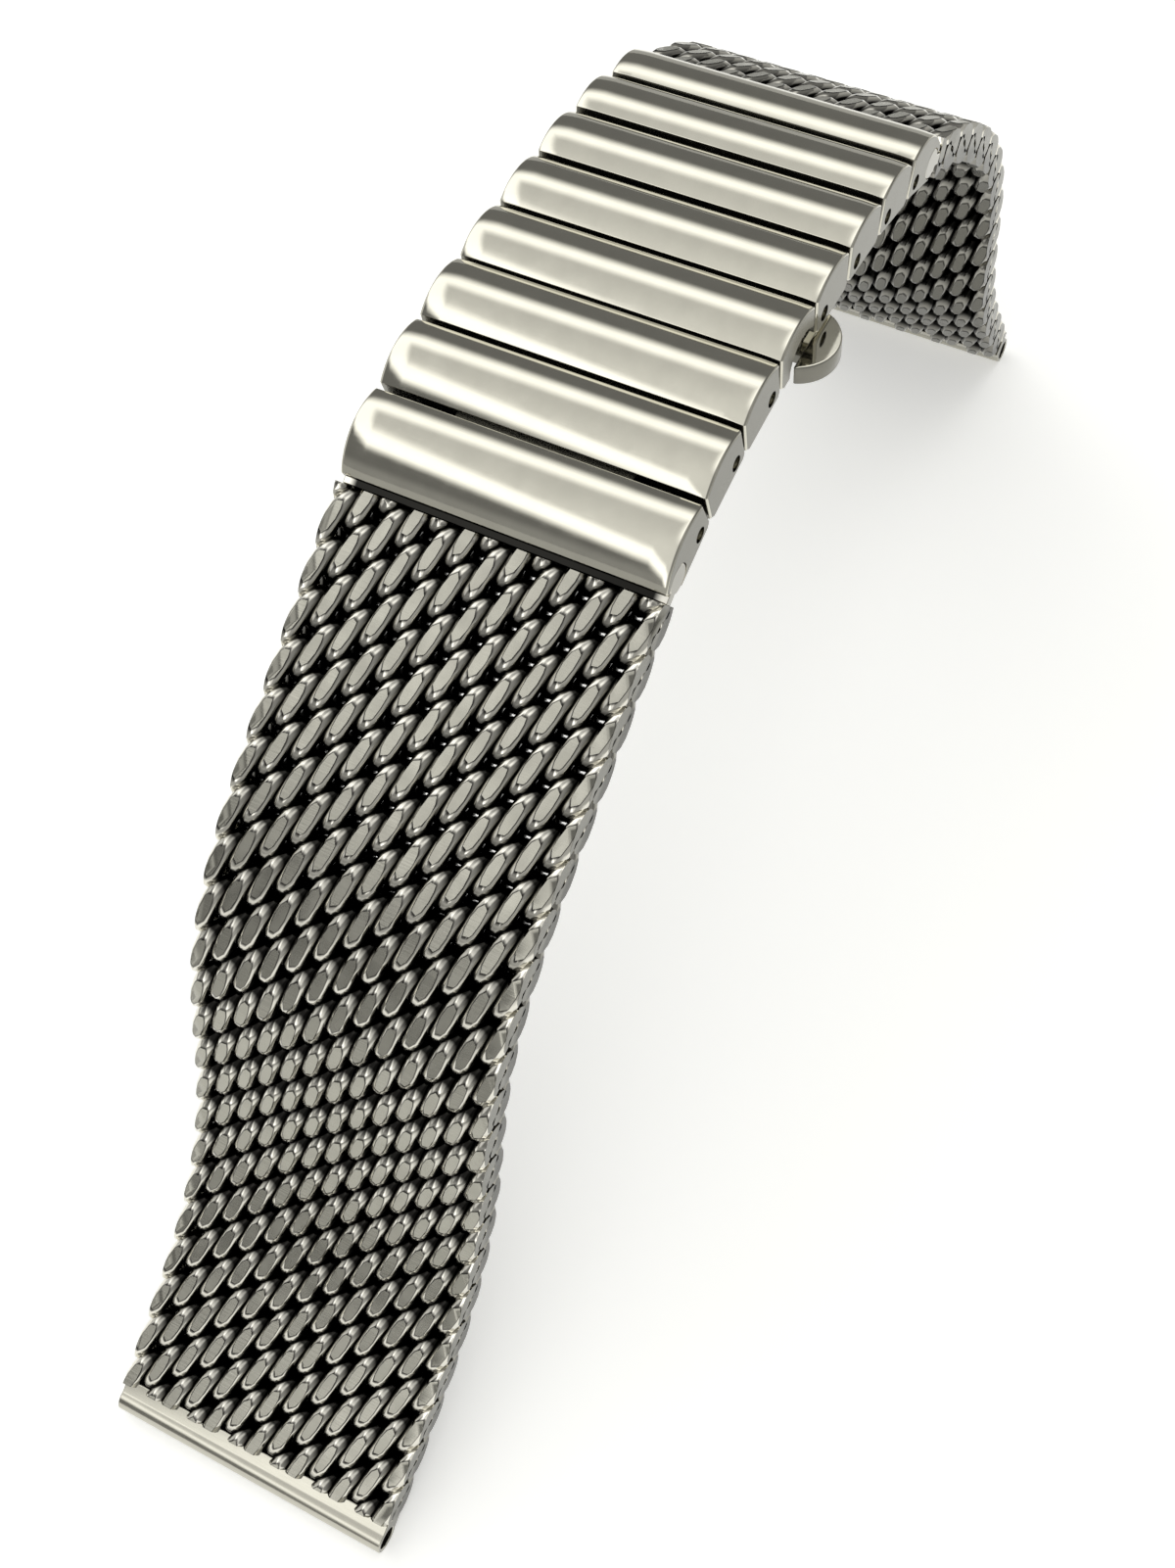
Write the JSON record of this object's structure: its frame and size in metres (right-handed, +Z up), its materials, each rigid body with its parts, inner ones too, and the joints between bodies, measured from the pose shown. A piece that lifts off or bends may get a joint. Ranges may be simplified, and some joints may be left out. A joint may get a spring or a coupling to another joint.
{
  "type": "mesh watch band",
  "caption": "Woven metal mesh watch band standing as an arch, with polished bar links hiding a folding clasp with side pushers and open spring bar tubes at both ends.",
  "frame": {"origin": "on the resting surface, centred under the box of the standing arch", "axes": "+X along the band towards its long end, +Y across the band, +Z up"},
  "size_m": [0.1158, 0.0252, 0.0529],
  "materials": {
    "woven_mesh": "polished wire with ground flats",
    "polished_link": "mirror polished",
    "clasp_steel": "satin",
    "pin_steel": "smooth",
    "spring_steel": "drawn wire"
  },
  "bodies": {
    "clasp": {"clasp_base": "clasp_steel", "latch_housing": "clasp_steel", "latch_cover": "polished_link", "front_arm_pin": "pin_steel", "back_arm_pin": "pin_steel", "pusher_spring_right": "spring_steel", "pusher_spring_left": "spring_steel"},
    "front_arm": {"front_arm": "clasp_steel"},
    "front_link_1": {"front_link_1": "polished_link", "front_link_pin_1": "pin_steel"},
    "front_link_2": {"front_link_2": "polished_link", "front_link_pin_2": "pin_steel"},
    "front_link_3": {"front_link_3": "polished_link", "front_link_pin_3": "pin_steel"},
    "front_link_4": {"front_link_4": "polished_link", "front_link_pin_4": "pin_steel"},
    "front_mesh_1": {"front_mesh_1": "woven_mesh", "front_mesh_bar": "woven_mesh"},
    "front_mesh_2": {"front_mesh_2": "woven_mesh"},
    "front_mesh_3": {"front_mesh_3": "woven_mesh"},
    "front_mesh_4": {"front_mesh_4": "woven_mesh"},
    "front_mesh_5": {"front_mesh_5": "woven_mesh"},
    "front_mesh_6": {"front_mesh_6": "woven_mesh"},
    "front_mesh_7": {"front_mesh_7": "woven_mesh"},
    "front_mesh_8": {"front_mesh_8": "woven_mesh"},
    "front_mesh_9": {"front_mesh_9": "woven_mesh"},
    "front_mesh_10": {"front_mesh_10": "woven_mesh"},
    "front_mesh_11": {"front_mesh_11": "woven_mesh", "front_lug_tube": "polished_link"},
    "back_arm": {"back_arm": "clasp_steel"},
    "back_link_1": {"back_link_1": "polished_link", "back_link_pin_1": "pin_steel"},
    "back_link_2": {"back_link_2": "polished_link", "back_link_pin_2": "pin_steel"},
    "back_link_3": {"back_link_3": "polished_link", "back_link_pin_3": "pin_steel"},
    "back_link_4": {"back_link_4": "polished_link", "back_link_pin_4": "pin_steel"},
    "back_mesh_1": {"back_mesh_1": "woven_mesh", "back_mesh_bar": "woven_mesh"},
    "back_mesh_2": {"back_mesh_2": "woven_mesh"},
    "back_mesh_3": {"back_mesh_3": "woven_mesh"},
    "back_mesh_4": {"back_mesh_4": "woven_mesh"},
    "back_mesh_5": {"back_mesh_5": "woven_mesh"},
    "back_mesh_6": {"back_mesh_6": "woven_mesh"},
    "back_mesh_7": {"back_mesh_7": "woven_mesh"},
    "back_mesh_8": {"back_mesh_8": "woven_mesh", "back_lug_tube": "polished_link"},
    "pusher_right": {"pusher_right": "polished_link"},
    "pusher_left": {"pusher_left": "polished_link"}
  },
  "joints": [
    {"name": "front_arm_hinge", "type": "hinge", "parent": "clasp", "child": "front_arm", "pos_m": [0.00219, 0, 0.04622], "axis": [0, 1, 0], "range_deg": [0, 130]},
    {"name": "front_link_1_hinge", "type": "hinge", "parent": "front_arm", "child": "front_link_1", "pos_m": [-0.01302, 0, 0.04997], "axis": [0, 1, 0], "range_deg": [-130, 0]},
    {"name": "front_link_2_hinge", "type": "hinge", "parent": "front_link_1", "child": "front_link_2", "pos_m": [-0.00803, 0, 0.05024], "axis": [0, 1, 0], "range_deg": [-4.7, 1.5]},
    {"name": "front_link_3_hinge", "type": "hinge", "parent": "front_link_2", "child": "front_link_3", "pos_m": [-0.00303, 0, 0.05011], "axis": [0, 1, 0], "range_deg": [-7, 1.5]},
    {"name": "front_link_4_hinge", "type": "hinge", "parent": "front_link_3", "child": "front_link_4", "pos_m": [0.00191, 0, 0.04936], "axis": [0, 1, 0], "range_deg": [-8, 1.5]},
    {"name": "front_mesh_1_bend", "type": "hinge", "parent": "front_link_4", "child": "front_mesh_1", "pos_m": [0.00487, 0, 0.04879], "axis": [0, 1, 0], "range_deg": [-15, 15]},
    {"name": "front_mesh_2_bend", "type": "hinge", "parent": "front_mesh_1", "child": "front_mesh_2", "pos_m": [0.01053, 0, 0.04559], "axis": [0, 1, 0], "range_deg": [-25, 23]},
    {"name": "front_mesh_3_bend", "type": "hinge", "parent": "front_mesh_2", "child": "front_mesh_3", "pos_m": [0.01618, 0, 0.04238], "axis": [0, 1, 0], "range_deg": [-25, 25]},
    {"name": "front_mesh_4_bend", "type": "hinge", "parent": "front_mesh_3", "child": "front_mesh_4", "pos_m": [0.02184, 0, 0.03918], "axis": [0, 1, 0], "range_deg": [-30, 20]},
    {"name": "front_mesh_5_bend", "type": "hinge", "parent": "front_mesh_4", "child": "front_mesh_5", "pos_m": [0.02719, 0, 0.03549], "axis": [0, 1, 0], "range_deg": [-38, 12]},
    {"name": "front_mesh_6_bend", "type": "hinge", "parent": "front_mesh_5", "child": "front_mesh_6", "pos_m": [0.03158, 0, 0.03069], "axis": [0, 1, 0], "range_deg": [-43, 7]},
    {"name": "front_mesh_7_bend", "type": "hinge", "parent": "front_mesh_6", "child": "front_mesh_7", "pos_m": [0.03427, 0, 0.02478], "axis": [0, 1, 0], "range_deg": [-28, 22]},
    {"name": "front_mesh_8_bend", "type": "hinge", "parent": "front_mesh_7", "child": "front_mesh_8", "pos_m": [0.03664, 0, 0.01873], "axis": [0, 1, 0], "range_deg": [-15, 35]},
    {"name": "front_mesh_9_bend", "type": "hinge", "parent": "front_mesh_8", "child": "front_mesh_9", "pos_m": [0.04003, 0, 0.01318], "axis": [0, 1, 0], "range_deg": [-12, 38]},
    {"name": "front_mesh_10_bend", "type": "hinge", "parent": "front_mesh_9", "child": "front_mesh_10", "pos_m": [0.04459, 0, 0.00854], "axis": [0, 1, 0], "range_deg": [-13, 37]},
    {"name": "front_mesh_11_bend", "type": "hinge", "parent": "front_mesh_10", "child": "front_mesh_11", "pos_m": [0.05, 0, 0.00495], "axis": [0, 1, 0], "range_deg": [-21, 29]},
    {"name": "back_arm_hinge", "type": "hinge", "parent": "clasp", "child": "back_arm", "pos_m": [-0.03011, 0, 0.04371], "axis": [0, -1, 0], "range_deg": [0, 130]},
    {"name": "back_link_1_hinge", "type": "hinge", "parent": "back_arm", "child": "back_link_1", "pos_m": [-0.01566, 0, 0.04976], "axis": [0, -1, 0], "range_deg": [-130, 0]},
    {"name": "back_link_2_hinge", "type": "hinge", "parent": "back_link_1", "child": "back_link_2", "pos_m": [-0.02063, 0, 0.04926], "axis": [0, -1, 0], "range_deg": [-4.7, 1.5]},
    {"name": "back_link_3_hinge", "type": "hinge", "parent": "back_link_2", "child": "back_link_3", "pos_m": [-0.02555, 0, 0.04836], "axis": [0, -1, 0], "range_deg": [-7, 1.5]},
    {"name": "back_link_4_hinge", "type": "hinge", "parent": "back_link_3", "child": "back_link_4", "pos_m": [-0.03032, 0, 0.04686], "axis": [0, -1, 0], "range_deg": [-8, 1.5]},
    {"name": "back_mesh_1_bend", "type": "hinge", "parent": "back_link_4", "child": "back_mesh_1", "pos_m": [-0.03316, 0, 0.04584], "axis": [0, -1, 0], "range_deg": [-6, 26]},
    {"name": "back_mesh_2_bend", "type": "hinge", "parent": "back_mesh_1", "child": "back_mesh_2", "pos_m": [-0.03882, 0, 0.04264], "axis": [0, -1, 0], "range_deg": [-39, 11]},
    {"name": "back_mesh_3_bend", "type": "hinge", "parent": "back_mesh_2", "child": "back_mesh_3", "pos_m": [-0.04354, 0, 0.03817], "axis": [0, -1, 0], "range_deg": [-34, 16]},
    {"name": "back_mesh_4_bend", "type": "hinge", "parent": "back_mesh_3", "child": "back_mesh_4", "pos_m": [-0.0475, 0, 0.03302], "axis": [0, -1, 0], "range_deg": [-45, 5]},
    {"name": "back_mesh_5_bend", "type": "hinge", "parent": "back_mesh_4", "child": "back_mesh_5", "pos_m": [-0.04946, 0, 0.02682], "axis": [0, -1, 0], "range_deg": [-42, 8]},
    {"name": "back_mesh_6_bend", "type": "hinge", "parent": "back_mesh_5", "child": "back_mesh_6", "pos_m": [-0.04952, 0, 0.02032], "axis": [0, -1, 0], "range_deg": [-18, 32]},
    {"name": "back_mesh_7_bend", "type": "hinge", "parent": "back_mesh_6", "child": "back_mesh_7", "pos_m": [-0.05038, 0, 0.01388], "axis": [0, -1, 0], "range_deg": [-7, 43]},
    {"name": "back_mesh_8_bend", "type": "hinge", "parent": "back_mesh_7", "child": "back_mesh_8", "pos_m": [-0.05318, 0, 0.00802], "axis": [0, -1, 0], "range_deg": [-23, 27]},
    {"name": "pusher_right_press", "type": "slide", "parent": "clasp", "child": "pusher_right", "axis": [0, -1, 0], "range_m": [0, 0.0008], "stiffness_N_per_m": 600, "springref_m": -0.0015, "deforming": ["pusher_spring_right"]},
    {"name": "pusher_left_press", "type": "slide", "parent": "clasp", "child": "pusher_left", "axis": [0, 1, 0], "range_m": [0, 0.0008], "stiffness_N_per_m": 600, "springref_m": -0.0015, "deforming": ["pusher_spring_left"]}
  ],
  "couplings": [
    {"joint": "front_link_1_hinge", "follows": "front_arm_hinge", "ratio": -1},
    {"joint": "back_link_1_hinge", "follows": "back_arm_hinge", "ratio": -1}
  ]
}
